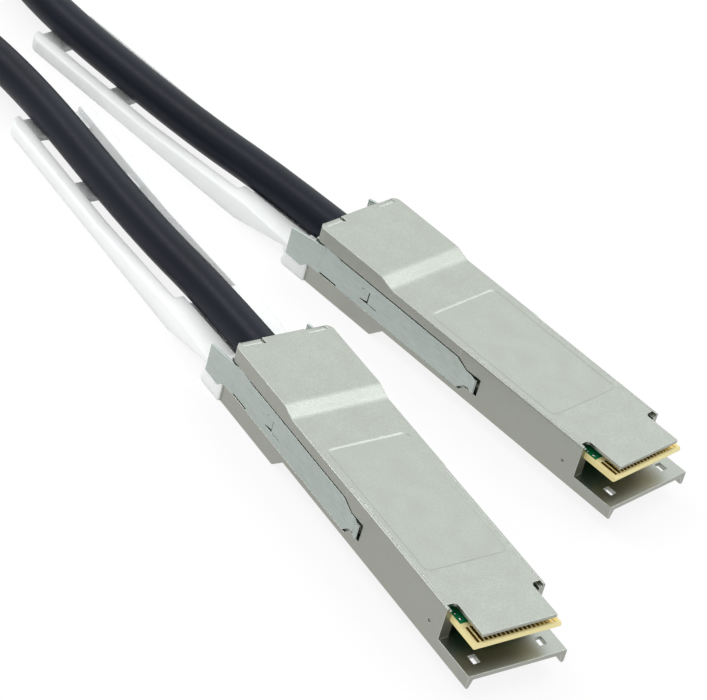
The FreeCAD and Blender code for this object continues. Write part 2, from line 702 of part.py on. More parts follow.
def make_pull_tab(label):
    """White moulding over the strap: block, tapering base with a trough for the cable, and a ladder frame."""
    body = new_body(label)
    low = "-dims.head_drop"
    frame = new_sketch(body, "YZ_Plane")
    add_polygon(frame, [
        ("dims.bracket_rear - 1.5", "dims.tab_cheek_top"), ("dims.tab_neck_front", "dims.tab_cheek_top"),
        ("dims.tab_kink", low), ("dims.tab_end", low), ("dims.tab_end", "dims.tab_top"),
        ("dims.tab_slope_rear", "dims.tab_top"), ("dims.tab_kink - 1", "dims.tab_base_top"),
        ("dims.tab_neck_front", "dims.tab_neck_top"), ("dims.bracket_rear - 1.5", "dims.tab_neck_top"),
    ])
    pad(body, frame, "dims.tab_width", symmetric=True)
    keel = new_sketch(body, "YZ_Plane")
    add_polygon(keel, [
        ("dims.bracket_rear - 1.5", "dims.bracket_low"), ("dims.tab_neck_front", "dims.tab_neck_low"),
        ("dims.tab_neck_front + 4", "dims.tab_neck_low"), ("dims.tab_kink", low), ("dims.tab_base_rear", low),
        ("dims.tab_base_rear", "dims.tab_top"), ("dims.bracket_rear - 1.5", "dims.tab_top + 0.3"),
    ])
    pad(body, keel, "2 * (dims.trough_radius + dims.tab_keel_side)", symmetric=True)
    foot = new_sketch(body, "YZ_Plane")
    add_polygon(foot, [
        ("dims.bracket_front", "dims.arm_bottom"), ("dims.bracket_front", low), ("dims.bracket_rear + 0.2", low),
        ("dims.bracket_rear + 0.8", "dims.bracket_low - 0.2"), ("dims.bracket_rear + 0.1", "dims.tab_cheek_top"),
        ("dims.bracket_front + 1.3", "dims.tab_cheek_top - 0.1"),
    ])
    pad(body, foot, "dims.plug_width + 2 * dims.arm_bend_out + 2 * dims.tab_cheek", symmetric=True)
    fill = new_sketch(body, "YZ_Plane")
    add_polygon(fill, [
        ("dims.bracket_front", "dims.bracket_low"), ("dims.bracket_rear", "dims.bracket_low"),
        ("dims.bracket_rear + 1.2", "dims.tab_top"), ("dims.bracket_rear", "dims.tab_block_top"),
        ("dims.bracket_front", "dims.tab_block_top"),
    ])
    pad(body, fill, "dims.plug_width - 2 * dims.arm_thick + 2 * dims.arm_bend_out", symmetric=True)

    inner = "dims.tab_width / 2 - dims.tab_rail"
    openings = new_sketch(body, "XY_Plane", "dims.tab_base_top + 1")
    bar_front = "dims.tab_end - dims.tab_end_bar"
    add_rectangle(openings, (f"-({inner})", "dims.tab_base_rear"), (inner, "dims.tab_bar_front"))
    add_rectangle(openings, (f"-({inner})", "dims.tab_bar_rear"), (inner, bar_front))
    pocket(body, openings, "dims.tab_base_top + dims.head_drop + 2")
    bars = new_sketch(body, "XY_Plane", "dims.tab_top + 1")
    add_rectangle(bars, (f"-({inner})", "dims.tab_bar_front - 1"), (inner, "dims.tab_end + 1"))
    pocket(body, bars, "dims.tab_top + dims.head_drop + 1 - dims.tab_bar_thick")
    trough = new_sketch(body, "XZ_Plane", "-dims.tab_base_rear - 1")
    add_circle(trough, ("0", "dims.trough_axis"), "dims.trough_radius")
    flare = pocket(body, trough, "dims.tab_base_rear - dims.bracket_front + 2", forwards=True)
    flare.setExpression("TaperAngle", "-dims.trough_taper")
    doc.recompute()
    print(label, "trough at the housing's side", flare.Shape.BoundBox, flare.Shape.Volume)
    fillet(body, "dims.tab_corner", lambda e: runs_along(e, 2) and near(e.CenterOfMass.y, "dims.tab_end")
           and near(abs(e.CenterOfMass.x), "dims.tab_width / 2"))
    return body


def make_spring(label, sign, place):
    """Round-wire compression spring between the lanced seat and the rear of its pocket."""
    axis_x = sign * size(f"{CHANNEL_X} - dims.seat_reach / 2 - 0.2")
    axis_z = size("(dims.seat_bottom + dims.seat_top) / 2")
    wire = size("dims.wire_radius")
    coil = size("dims.spring_radius")
    front = size("dims.seat_rear") + wire
    length = size("dims.spring_pocket_rear - dims.seat_rear") - 2 * wire
    per_turn = 10
    steps = per_turn * int(size("dims.spring_turns"))
    sides = 6
    sections = []
    for i in range(steps + 1):
        angle = 2 * math.pi * i / per_turn
        outwards = Vector(math.cos(angle), 0, math.sin(angle))
        centre = Vector(axis_x, front + length * i / steps, axis_z) + outwards * coil
        corners = [
            centre + outwards * (wire * math.cos(2 * math.pi * k / sides))
            + Vector(0, wire * math.sin(2 * math.pi * k / sides), 0)
            for k in range(sides)
        ]
        sections.append(Part.makePolygon(corners + corners[:1]))
    spring = doc.addObject("Part::Feature", label)
    spring.Label = label
    spring.Shape = Part.makeLoft(sections, True, True)
    spring.Placement = place
    return spring


# ---------------------------------------------------------------- cable
def plug_place(tag):
    """Where a plug's own frame stands in the model's frame."""
    home = Vector(0, size("-(dims.step_rear + dims.plug_length) / 2"), size("dims.head_drop"))
    if tag == "a":
        return FreeCAD.Placement(home, FreeCAD.Rotation())
    beside = Vector(size("dims.plug_b_x"), size("dims.plug_b_y"), 0)
    return FreeCAD.Placement(home + beside, FreeCAD.Rotation(Vector(0, 0, 1), size("dims.plug_b_angle")))


def cable_route():
    """The centre line from inside plug A, out over its tab, round one loop on the floor, and back into plug B.

    Both leads are points of their plug's own frame, and the loop's are points of plug A's.
    """
    axis = size("dims.cable_axis")
    floor = size("dims.cable_diameter / 2 - dims.head_drop")
    over_bars = floor + size("dims.tab_bar_thick + dims.bar_gap")
    rear = size("dims.plug_length")
    lead = [
        (0, rear - size("dims.cable_inside"), axis), (0, rear + 15.6, axis),
        (-2.2, rear + 40.6, over_bars), (-2.0, rear + 85.6, over_bars),
    ]
    loop = [
        (-6.5, 110.6), (-21, 133.6), (-32, 156.6), (-33, 180.6), (-20.5, 200.6), (1.5, 209.6),
        (25, 204.6), (41.5, 188.6), (45.5, 166.1), (35, 145.6), (18.5, 129.6),
    ]
    points = [plug_place("a").multVec(Vector(*p)) for p in lead]
    points += [plug_place("a").multVec(Vector(x, rear + y, floor)) for x, y in loop]
    points += [plug_place("b").multVec(Vector(*p)) for p in reversed(lead)]
    return points


def rounded_path(points):
    """Straight runs joined by tangent arcs, each as large as its two runs allow."""
    edges = []
    here = points[0]
    radii = []
    for before, corner, after in zip(points, points[1:], points[2:]):
        arrive = (corner - before).normalize()
        leave = (after - corner).normalize()
        half_turn = arrive.getAngle(leave) / 2
        reach = 0.45 * min(before.distanceToPoint(corner), corner.distanceToPoint(after))
        radii.append(reach / math.tan(half_turn))
        start = corner - arrive * reach
        end = corner + leave * reach
        to_centre = (leave - arrive).normalize()
        middle = corner + to_centre * (radii[-1] / math.cos(half_turn) - radii[-1])
        edges += [Part.LineSegment(here, start).toShape(), Part.Arc(start, middle, end).toShape()]
        here = end
    edges.append(Part.LineSegment(here, points[-1]).toShape())
    length = sum(edge.Length for edge in edges)
    print("cable radii", [round(r, 1) for r in radii], "length", round(length, 1))
    return Part.Wire(edges), length


def make_cable(label):
    """One tube along the whole route. Its round section is drawn with sixteen sides to keep facets few."""
    points = cable_route()
    path, length = rounded_path(points)
    radius = size("dims.cable_diameter / 2")
    sides = 16
    corners = [
        points[0] + Vector(math.cos(2 * math.pi * k / sides), 0, math.sin(2 * math.pi * k / sides)) * radius
        for k in range(sides)
    ]
    section = Part.makePolygon(corners + corners[:1])
    tube = path.makePipeShell([section], True, True)
    expected = sides / 2 * math.sin(2 * math.pi / sides) * radius ** 2 * length
    print("cable volume over section times length", round(tube.Volume / expected, 4))
    cable = doc.addObject("Part::Feature", label)
    cable.Label = label
    cable.Shape = tube
    return cable


# ---------------------------------------------------------------- assembly
def make_plug(tag):
    place = plug_place(tag)
    bodies = [
        make_base_shell("base_shell_" + tag),
        make_top_cover("top_cover_" + tag),
        make_paddle_card("paddle_card_" + tag),
        make_contact_pads("upper_contacts_" + tag, upper=True),
        make_contact_pads("lower_contacts_" + tag, upper=False),
        make_capacitors("coupling_capacitors_" + tag),
        make_memory_chip("memory_chip_" + tag),
        make_core_pairs("core_pairs_" + tag),
        make_core_holder("core_holder_" + tag),
        make_ferrule("crimp_ferrule_" + tag),
        make_latch("latch_slider_" + tag),
        make_pull_tab("pull_tab_" + tag),
    ]
    for body in bodies:
        body.Placement = place
    springs = [
        make_spring("left_return_spring_" + tag, -1, place),
        make_spring("right_return_spring_" + tag, 1, place),
    ]
    return bodies + springs


parts = make_plug("a") + make_plug("b") + [make_cable("cable")]
doc.recompute()

for item in doc.Objects:
    if "Invalid" in item.State or "Error" in item.State:
        raise RuntimeError(f"{item.Label} failed: {item.State}")
for item in parts:
    if item.Shape.isNull() or not item.Shape.isValid():
        raise RuntimeError(f"{item.Label} has no sound shape")

os.makedirs("parts", exist_ok=True)
for item in parts:
    item.Shape.exportStep(f"parts/{item.Label}.step")
    print(item.Label, len(item.Shape.Solids), "solid(s)", round(item.Shape.Volume, 2), "mm3")
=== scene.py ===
# %% [markdown]
# # A direct attach copper cable
# One round black cable joins two flat metal plugs. Each plug has a nickel plated shell, a pressed
# cover, a green card in its nose, a steel latch on both sides and a white pull tab. The solids come
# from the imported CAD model, already in place. This lesson gives them their finishes and adds the
# small things that a solid model leaves out.

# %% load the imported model
import json
import math

import bmesh
import bpy
from mathutils import Matrix, Vector

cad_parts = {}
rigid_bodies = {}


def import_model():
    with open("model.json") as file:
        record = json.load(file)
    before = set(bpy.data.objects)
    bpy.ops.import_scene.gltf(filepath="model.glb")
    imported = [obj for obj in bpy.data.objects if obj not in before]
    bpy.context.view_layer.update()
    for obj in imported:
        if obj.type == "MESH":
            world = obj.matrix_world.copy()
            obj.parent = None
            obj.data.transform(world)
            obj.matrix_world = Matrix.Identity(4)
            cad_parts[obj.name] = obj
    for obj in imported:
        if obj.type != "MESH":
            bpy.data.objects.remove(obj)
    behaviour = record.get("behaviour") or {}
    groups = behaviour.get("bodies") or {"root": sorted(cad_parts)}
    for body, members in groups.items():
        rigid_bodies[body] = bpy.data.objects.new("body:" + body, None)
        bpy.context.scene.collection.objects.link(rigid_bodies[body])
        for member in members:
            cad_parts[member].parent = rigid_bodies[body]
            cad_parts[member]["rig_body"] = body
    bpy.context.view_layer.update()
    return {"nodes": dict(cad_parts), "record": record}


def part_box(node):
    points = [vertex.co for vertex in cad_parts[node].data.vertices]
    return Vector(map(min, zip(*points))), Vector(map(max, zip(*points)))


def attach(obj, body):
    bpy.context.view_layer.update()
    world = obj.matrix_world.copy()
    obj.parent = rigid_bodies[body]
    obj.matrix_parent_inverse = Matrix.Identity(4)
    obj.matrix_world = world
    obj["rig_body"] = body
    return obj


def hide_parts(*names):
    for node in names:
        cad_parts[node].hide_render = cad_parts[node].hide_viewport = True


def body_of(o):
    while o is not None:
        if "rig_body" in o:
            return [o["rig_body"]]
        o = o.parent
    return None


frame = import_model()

nodes = frame["nodes"]
slots = {part["node"]: part["material_slot"] for part in frame["record"]["subparts"]}
scene = bpy.context.scene

# %% [markdown]
# ## The two plugs' own frames
# Both plugs are the same, so every added piece is drawn once in a plug's own frame: x across, y from
# the nose towards the cable, z up from the underside of the narrow body. A matrix for each plug then
# puts it in place. Writing the place into the mesh keeps each object at the origin.

# %% plug frames
MM = 0.001
HEAD_DROP = 2.43  # the head hangs this far under the narrow body, and rests on the floor
HOME = Vector((0, -64.2, HEAD_DROP)) * MM
BESIDE = Vector((44.7, 27.0, 0)) * MM
TURN = math.radians(11.1)
PLACE = {
    "a": Matrix.Translation(HOME),
    "b": Matrix.Translation(HOME + BESIDE) @ Matrix.Rotation(TURN, 4, "Z"),
}
for tag, place in PLACE.items():
    print("plug", tag, "nose at", [round(c, 4) for c in place.translation])

# %% [markdown]
# ## Landmarks
# Most of what comes later asks where something is: on the sides, at the rear face, on the body's
# top. Those places are read from the solids' boxes, so they follow the model. A corner or an edge
# counts as being at such a place when it is within a tenth of a millimetre of it.


# %% landmarks
def in_plug_a(name):
    """A node's lowest and highest corner in plug A's own frame, in millimetres."""
    low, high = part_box(name)
    return (low - HOME) / MM, (high - HOME) / MM


NEAR = 0.1
half_wide, rear, body_top = in_plug_a("base_shell_a")[1]
head_top = in_plug_a("top_cover_a")[1].z
card_low, card_high = in_plug_a("paddle_card_a")
contacts_rear = in_plug_a("upper_contacts_a")[1].y
tip_front = in_plug_a("latch_slider_a")[0].y
cheek, tab_end = in_plug_a("pull_tab_a")[1][:2]
flank = half_wide - 0.75 * NEAR  # a finer test: the rear corners' arcs come close to the sides
under_top = body_top - NEAR
print("a plug's sides are at", round(half_wide, 3), "and its rear face at", round(rear, 2))

# %% [markdown]
# ## Camera
# A long lens from about half a metre keeps the plugs' edges nearly parallel. The camera stands in
# front of plug A and to its left, looks down by two fifths of a right angle, and is rolled a
# little. Its three axes are built from those angles, which is easier to read than Euler angles.

# %% camera
STAND = (-0.2907, -0.3350, 0.34468)
HEADING = Vector((0.666, 0.746, 0)).normalized()
DOWN, ROLL = math.radians(36.45), math.radians(15.85)
ahead = HEADING * math.cos(DOWN) - Vector((0, 0, math.sin(DOWN)))
level = ahead.cross(Vector((0, 0, 1))).normalized()
rise = level.cross(ahead)
right = level * math.cos(ROLL) + rise * math.sin(ROLL)
up = rise * math.cos(ROLL) - level * math.sin(ROLL)
camera_data = bpy.data.cameras.new("camera")
camera_data.lens, camera_data.sensor_width = 177.35, 36
camera_data.clip_start, camera_data.clip_end = 0.01, 20
camera = bpy.data.objects.new("camera", camera_data)
axes = Matrix((right, up, -ahead)).transposed().to_4x4()
camera.matrix_world = Matrix.Translation(STAND) @ axes
scene.collection.objects.link(camera)
scene.camera = camera
print("camera looks along", [round(c, 3) for c in ahead])

# %% [markdown]
# ## The cable's route
# The cable is a fixed length of something stiff. It leaves each plug straight, sinks between the pull
# tab's rails, and makes one loop on the floor with no bend tighter than it would take. Each lead is
# the same in both plugs' frames, so it is written once and turned round for the second plug.

# %% cable route
JACKET_RADIUS = 3.3
RESTING = JACKET_RADIUS - HEAD_DROP  # height of the cable's middle where it lies on the floor
LEAD = [(0, 62, 3.3), (-0.4, 88, 3.3), (-2.2, 113, 2.45), (-2.0, 158, 2.45)]
LOOP = [
    (-6.5, 183), (-21, 206), (-31.6, 229), (-32.6, 253), (-20.5, 272.5), (1.5, 280.6),
    (25, 276), (41.5, 261), (45.5, 238.5), (35, 218), (18.5, 202),
]
route = [PLACE["a"] @ (Vector(p) * MM) for p in LEAD]
route += [PLACE["a"] @ (Vector((x, y, RESTING)) * MM) for x, y in LOOP]
route += [PLACE["b"] @ (Vector(p) * MM) for p in reversed(LEAD)]
print("cable route of", len(route), "points")

# %% [markdown]
# ## The cable
# A mesh tube could be swept along the route, but a NURBS curve with a round section keeps its bends
# even from these few points. The section has a radius of one, and each point's own radius scales it,
# so that the curve's box is as slim as the cable.

# %% cable
curve = bpy.data.curves.new("cable_jacket", "CURVE")
curve.dimensions = "3D"
curve.bevel_depth, curve.bevel_resolution = 1, 8
curve.resolution_u = 14
curve.use_fill_caps = True
spline = curve.splines.new("NURBS")
spline.points.add(len(route) - 1)
for point, place in zip(spline.points, route):
    point.co = (*place, 1)
    point.radius = JACKET_RADIUS * MM
spline.order_u = 3
spline.use_endpoint_u = True
cable = bpy.data.objects.new("cable_jacket", curve)
scene.collection.objects.link(cable)
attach(cable, "root")
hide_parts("cable")

# %% [markdown]
# ## Light
# An even sky gives metal something bright to mirror. Satin metal shows mostly what lies along its
# mirror direction, so one wide panel stands where the flat tops look, and a smaller one higher up,
# where only the covers' ramps look, makes those ramps brighter. A third one brightens the rims.

# %% light
scene.view_settings.view_transform = "Standard"
world = bpy.data.worlds.new("studio")
scene.world = world
world.use_nodes = True
sky = world.node_tree.nodes["Background"]
sky.inputs["Color"].default_value = (1, 1, 1, 1)
sky.inputs["Strength"].default_value = 0.85


def lamp(name, place, size, watts, tint=(1, 1, 1)):
    """A square soft lamp at place that faces the model."""
    light = bpy.data.lights.new(name, "AREA")
    light.size, light.energy, light.color = size, watts, tint
    piece = bpy.data.objects.new(name, light)
    piece.location = place
    piece.rotation_euler = (-Vector(place)).to_track_quat("-Z", "Y").to_euler()
    scene.collection.objects.link(piece)


lamp("panel", (0.65, 0.72, 0.72), 1.1, 2.35, (0.93, 1, 0.98))
lamp("overhead", (0.60, 0.05, 0.95), 0.5, 1.8, (0.95, 1, 1))
lamp("rim", (-0.32, 0.66, 0.82), 0.4, 2.6)
print("lamps:", {light.name: round(light.energy, 2) for light in bpy.data.lights})

# %% [markdown]
# ## Floor
# The floor is white paper. A floor bright enough to look white under these lamps would lose the
# object's shadow, so a part of it glows for the camera, in reflections and through clear things, and
# the rest takes the light and the shadow as paper does.

# %% floor
FLOOR_HALF = 3
sheet = bmesh.new()
bmesh.ops.create_grid(sheet, x_segments=1, y_segments=1, size=FLOOR_HALF)
floor_mesh = bpy.data.meshes.new("floor")
sheet.to_mesh(floor_mesh)
sheet.free()
floor = bpy.data.objects.new("floor", floor_mesh)
scene.collection.objects.link(floor)
print("floor:", [round(side, 1) for side in floor.dimensions])


# %% floor paper
def value_node(tree, operation, first, second):
    """A Math node; each input is a number or another node's output."""
    node = tree.nodes.new("ShaderNodeMath")
    node.operation = operation
    for socket, given in zip(node.inputs, (first, second)):
        if isinstance(given, (int, float)):
            socket.default_value = given
        else:
            tree.links.new(given, socket)
    return node.outputs[0]


PAPER_GLOW = 0.85
paper = bpy.data.materials.new("floor_paper")
paper.use_nodes = True
tree = paper.node_tree
matt = tree.nodes["Principled BSDF"]
matt.inputs["Base Color"].default_value = (0.93, 0.93, 0.93, 1)
matt.inputs["Roughness"].default_value = 0.9
glow = tree.nodes.new("ShaderNodeEmission")
rays = tree.nodes.new("ShaderNodeLightPath").outputs
mirrored = value_node(tree, "MAXIMUM", rays["Is Camera Ray"], rays["Is Glossy Ray"])
seen = value_node(tree, "MAXIMUM", mirrored, rays["Is Transmission Ray"])
mix = tree.nodes.new("ShaderNodeMixShader")
tree.links.new(value_node(tree, "MULTIPLY", seen, PAPER_GLOW), mix.inputs["Fac"])
tree.links.new(matt.outputs["BSDF"], mix.inputs[1])
tree.links.new(glow.outputs["Emission"], mix.inputs[2])
tree.links.new(mix.outputs["Shader"], tree.nodes["Material Output"].inputs["Surface"])
floor_mesh.materials.append(paper)
print("floor paper glows by", PAPER_GLOW)

# %% [markdown]
# ## Eased edges
# A real casting or moulding has no sharp edge, and its small roundings are what catch the light.
# They could be faked in the shader, but real ones also hold in a close view. A CAD node's mesh is
# loose triangles, so a copy is merged, its flat faces are joined, and only chosen edges are
# bevelled. Each choice is a test of the box round an edge, in millimetres in the plug's own frame.
# Where two bevels meet at a corner they can leave two points in one place, which are merged too.

# %% helpers that merge, move and round
SAME_CORNER = 2e-6            # corners nearer than this, in metres, are one
ONE_FLAT = math.radians(0.5)  # faces that meet at less than this are one face
LEAST_TURN = 0.2              # and at less than this, in radians, have no edge to round
ROUND_STEPS = 8


def merged(name):
    """A copy of a node's mesh in its plug's frame, with joined corners and whole flat faces."""
    shape = bmesh.new()
    shape.from_mesh(nodes[name].data)
    bmesh.ops.transform(shape, matrix=PLACE[name[-1]].inverted(), verts=shape.verts)
    bmesh.ops.remove_doubles(shape, verts=shape.verts, dist=SAME_CORNER)
    bmesh.ops.dissolve_limit(shape, angle_limit=ONE_FLAT, verts=shape.verts, edges=shape.edges)
    return shape


def move_corners(shape, shift, chosen):
    """Move the corners that a test picks, and count them."""
    moved = [v for v in shape.verts if chosen(v.co / MM)]
    bmesh.ops.translate(shape, vec=Vector(shift) * MM, verts=moved)
    return len(moved)


def round_edges(shape, width, chosen):
    """Round the edges that a test picks by their box and their distance from the middle."""
    edges = []
    for edge in shape.edges:
        a, b = (v.co / MM for v in edge.verts)
        low = Vector(map(min, a, b))
        high = Vector(map(max, a, b))
        aside = min(abs(a.x), abs(b.x))
        if edge.calc_face_angle(0) > LEAST_TURN and chosen(low, high, aside):
            edges.append(edge)
    bmesh.ops.bevel(
        shape, geom=edges, offset=width * MM, offset_type="OFFSET", segments=ROUND_STEPS,
        profile=0.5, affect="EDGES", clamp_overlap=True, material=-1,
    )
    return len(edges)


print("edges are rounded in", ROUND_STEPS, "steps")

# %% [markdown]
# ### From a shape to a piece
# The finished shape becomes an object that rides with its node's body and stands for the node. Its
# faces are shaded smooth, so that the roundings look round. A flat face beside a rounding would then
# look domed, so lines sharper than a gentle slope stay sharp, and a Weighted Normal modifier lets
# the large flat faces decide the shading.

# %% a helper that makes the piece
BEVELS_MEET = 3e-6
STAYS_SHARP = math.radians(13)
FLAT_FACES_WIN = 90
dressed = {}


def stand_for(name, shape):
    """Make a shape in the plug's frame into the piece that stands for a node."""
    bmesh.ops.remove_doubles(shape, verts=shape.verts, dist=BEVELS_MEET)
    bmesh.ops.transform(shape, matrix=PLACE[name[-1]], verts=shape.verts)
    for face in shape.faces:
        face.smooth = True
    for edge in shape.edges:
        edge.smooth = edge.calc_face_angle(math.pi) < STAYS_SHARP
    mesh = bpy.data.meshes.new(name + "_eased")
    shape.to_mesh(mesh)
    shape.free()
    piece = bpy.data.objects.new(name + "_eased", mesh)
    scene.collection.objects.link(piece)
    flats = piece.modifiers.new("flats_stay_flat", "WEIGHTED_NORMAL")
    flats.keep_sharp = True
    flats.weight = FLAT_FACES_WIN
    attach(piece, body_of(nodes[name])[0])
    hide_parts(name)
    dressed[name] = piece
    print(name, "has", len(mesh.polygons), "faces")


print("lines over", round(math.degrees(STAYS_SHARP)), "degrees stay sharp")

# %% [markdown]
# ### Shells
# The shell is a zinc casting, so its long edges are plainly round. The nose plate's front edge is
# thin and gets less, and the corner under the rear face, which a hand meets, gets most.

# %% shells
NOSE_TOP = 2.4      # the nose plate's upper face
REAR_SLOT = 1.2     # the bracket covers the rear corners above this
SHELL = [
    (0.28, lambda low, high, aside: aside > flank and low.z > under_top),
    (0.22, lambda low, high, aside: aside > flank and high.z < NEAR and low.y < rear - NEAR),
    (0.14, lambda low, high, aside: high.y < NEAR and low.z > NOSE_TOP - NEAR),
    (0.5, lambda low, high, aside: aside > flank and low.y > rear - NEAR and high.z < REAR_SLOT),
]
for tag in "ab":
    shell = merged("base_shell_" + tag)
    print("shell edges rounded:", [round_edges(shell, *easing) for easing in SHELL])
    stand_for("base_shell_" + tag, shell)

# %% [markdown]
# ### Covers
# The cover is pressed from sheet. Its ramp blends softly into both flats, its side edges are round,
# and the tongue over the card has a small easing only. A press can't make upright walls, so the
# walls of the label recess slope: the recess's floor is drawn in on all four sides. The two hooks at
# the rear push the sheet up a little from below, which an inset of each pad's floor shows.

# %% covers
RAMP_FRONT, RAMP_REAR = 54.0, 56.7
SKIRT_FRONT = 36.9
NOTCH_REAR, TONGUE_SIDE = 9.5, 7.0
COVER = [
    (0.5, lambda low, high, aside: (
        low.y > RAMP_FRONT - NEAR and high.y < RAMP_REAR + NEAR
        and high.y - low.y < NEAR and low.z > under_top)),
    (0.34, lambda low, high, aside: (
        aside > flank and low.z > under_top and low.y > SKIRT_FRONT - NEAR)),
    (0.26, lambda low, high, aside: (
        aside < TONGUE_SIDE + NEAR and low.z > under_top and high.y < NOTCH_REAR + NEAR)),
]
print("the ramp rises over", round(RAMP_REAR - RAMP_FRONT, 1), "mm")

# %% label walls and hook pads
LABEL_FRONT, LABEL_REAR, LABEL_HALF = 16.7, 46.1, 7.75
LABEL_DEEP = 0.12
LABEL_TURN = 1.3    # the recess's corners turn within this distance of its sides
DRAW_IN = 0.34
HOOK_LONG, HOOK_DEEP = 1.2, 0.18
PAD_RIM, PAD_RISE = 0.34, 0.12
FACES_UP = 0.9      # a face whose normal's z is above this looks up


def on_label_floor(spot):
    """Is a corner on the label recess's floor?"""
    deep_enough = abs(spot.z - body_top + LABEL_DEEP) < NEAR
    return deep_enough and LABEL_FRONT - NEAR < spot.y < LABEL_REAR + NEAR


LABEL_WALLS = [
    ((-DRAW_IN, 0, 0), lambda spot: on_label_floor(spot) and spot.x > LABEL_HALF - LABEL_TURN),
    ((DRAW_IN, 0, 0), lambda spot: on_label_floor(spot) and spot.x < LABEL_TURN - LABEL_HALF),
    ((0, -DRAW_IN, 0), lambda spot: on_label_floor(spot) and spot.y > LABEL_REAR - LABEL_TURN),
    ((0, DRAW_IN, 0), lambda spot: on_label_floor(spot) and spot.y < LABEL_FRONT + LABEL_TURN),
]


def raise_pads(cover):
    """Raise the middle of the hook pads' floors, and count the pads."""
    floors = []
    for face in cover.faces:
        middle = face.calc_center_median() / MM
        on_floor = face.normal.z > FACES_UP and abs(middle.z - head_top + HOOK_DEEP) < NEAR
        if on_floor and middle.y > rear - HOOK_LONG:
            floors.append(face)
    bmesh.ops.inset_region(
        cover, faces=floors, thickness=PAD_RIM * MM, depth=PAD_RISE * MM, use_even_offset=True
    )
    return len(floors)


for tag in "ab":
    cover = merged("top_cover_" + tag)
    print("label corners moved:", [move_corners(cover, *wall) for wall in LABEL_WALLS])
    print("hook pads raised:", raise_pads(cover))
    print("cover edges rounded:", [round_edges(cover, *easing) for easing in COVER])
    stand_for("top_cover_" + tag, cover)

# %% [markdown]
# ### Latches
# The latch is stamped and bent from thin sheet, and only its bend is round. Three small moves fit it
# to its neighbours: the arm's upper edge drops clear of the cover's skirt, the bracket's front edge
# hides in the moulding, and the flared tips reach to the end of their pockets.

# %% latches
ARM_TOP, RAISED_FRONT = 6.55, 66.0   # the arm's upper edge, and where its raised end starts
BEND_FRONT, BEND_REAR, BEND_TALL = 69.4, 70.0, 4
LATCH = [
    (0.25, lambda low, high, aside: (
        low.y > BEND_FRONT - NEAR and high.y < BEND_REAR + NEAR and high.z - low.z > BEND_TALL)),
]
LATCH_FIT = [
    ((0, 0, -0.12), lambda spot: spot.z > ARM_TOP - NEAR and spot.y < RAISED_FRONT + NEAR),
    ((0, 0.25, 0), lambda spot: rear < spot.y < rear + NEAR and spot.z < REAR_SLOT),
    ((0, -0.45, 0), lambda spot: spot.y < tip_front + 3 * NEAR),
]
for tag in "ab":
    latch = merged("latch_slider_" + tag)
    print("latch corners moved:", [move_corners(latch, *move) for move in LATCH_FIT])
    print("latch edges rounded:", [round_edges(latch, *easing) for easing in LATCH])
    stand_for("latch_slider_" + tag, latch)

# %% [markdown]
# ### Pull tabs
# The tab is moulded in a soft plastic, so every edge that a hand meets is round: most of all the
# upper edges of its rails and its end, less the lower ones. The trough's lips and the thin cheeks
# over the bracket have smaller roundings, because there is less to round.

# %% pull tabs
RAIL_SIDE, RAIL_INSIDE = 8.4, 6.0   # how far the rails' faces are from the middle
RAIL_HEIGHT = 0.05                  # upper edges are above this, and lower ones below
TAB_CORNER = 3.0
NECK_REAR = 79.1                    # the base narrows ahead of this
BASE_REAR = 95.0
TROUGH_LIP = (2.5, 4.6)             # how far the trough's lips over the base are from the middle
LIP_HEIGHT, LIP_REAR = 0.9, 96.0    # the lips are above this, and end ahead of this


def on_rim(low, aside):
    """Is an edge on the outline of the rails or of the tab's rounded end?"""
    on_rail = aside > RAIL_SIDE - NEAR
    at_end = low.y > tab_end - TAB_CORNER - NEAR and aside > RAIL_SIDE - TAB_CORNER - NEAR
    return low.y > NECK_REAR and (on_rail or at_end)


TAB = [
    (0.6, lambda low, high, aside: low.z > RAIL_HEIGHT and on_rim(low, aside)),
    (0.3, lambda low, high, aside: high.z < 2 * RAIL_HEIGHT and on_rim(low, aside)),
    (0.25, lambda low, high, aside: (
        low.y > rear and high.y < LIP_REAR and low.z > LIP_HEIGHT
        and TROUGH_LIP[0] < aside < TROUGH_LIP[1])),
    (0.3, lambda low, high, aside: (
        low.z > RAIL_HEIGHT and low.y > BASE_REAR and abs(aside - RAIL_INSIDE) < NEAR)),
    (0.14, lambda low, high, aside: aside > cheek - NEAR),
]
for tag in "ab":
    tab = merged("pull_tab_" + tag)
    print("tab edges rounded:", [round_edges(tab, *easing) for easing in TAB])
    stand_for("pull_tab_" + tag, tab)

# %% [markdown]
# ### Solder on the card
# Solder that has run beside a hole sets as a low bright dome. A few stand in the open notches
# beside the cover's tongue, where the card can be seen. Each is a sphere pressed flat.

# %% solder
SOLDER = [(-7.0, 7.6, 0.26), (-7.15, 8.9, 0.2), (7.0, 7.7, 0.24), (7.2, 9.1, 0.2)]
PRESSED = (1, 1.25, 0.45)
for tag in "ab":
    drops = bmesh.new()
    for x, y, radius in SOLDER:
        drop = bmesh.ops.create_uvsphere(drops, u_segments=16, v_segments=8, radius=radius * MM)
        bmesh.ops.scale(drops, vec=PRESSED, verts=drop["verts"])
        bmesh.ops.translate(drops, vec=Vector((x, y, card_high.z)) * MM, verts=drop["verts"])
    bmesh.ops.transform(drops, matrix=PLACE[tag], verts=drops.verts)
    for face in drops.faces:
        face.smooth = True
    mesh = bpy.data.meshes.new("solder_" + tag)
    drops.to_mesh(mesh)
    drops.free()
    solder = bpy.data.objects.new("solder_" + tag, mesh)
    scene.collection.objects.link(solder)
    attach(solder, body_of(nodes["paddle_card_" + tag])[0])
    dressed["solder_" + tag] = solder
print("solder drops on each card:", len(SOLDER), "at height", round(card_high.z, 2))

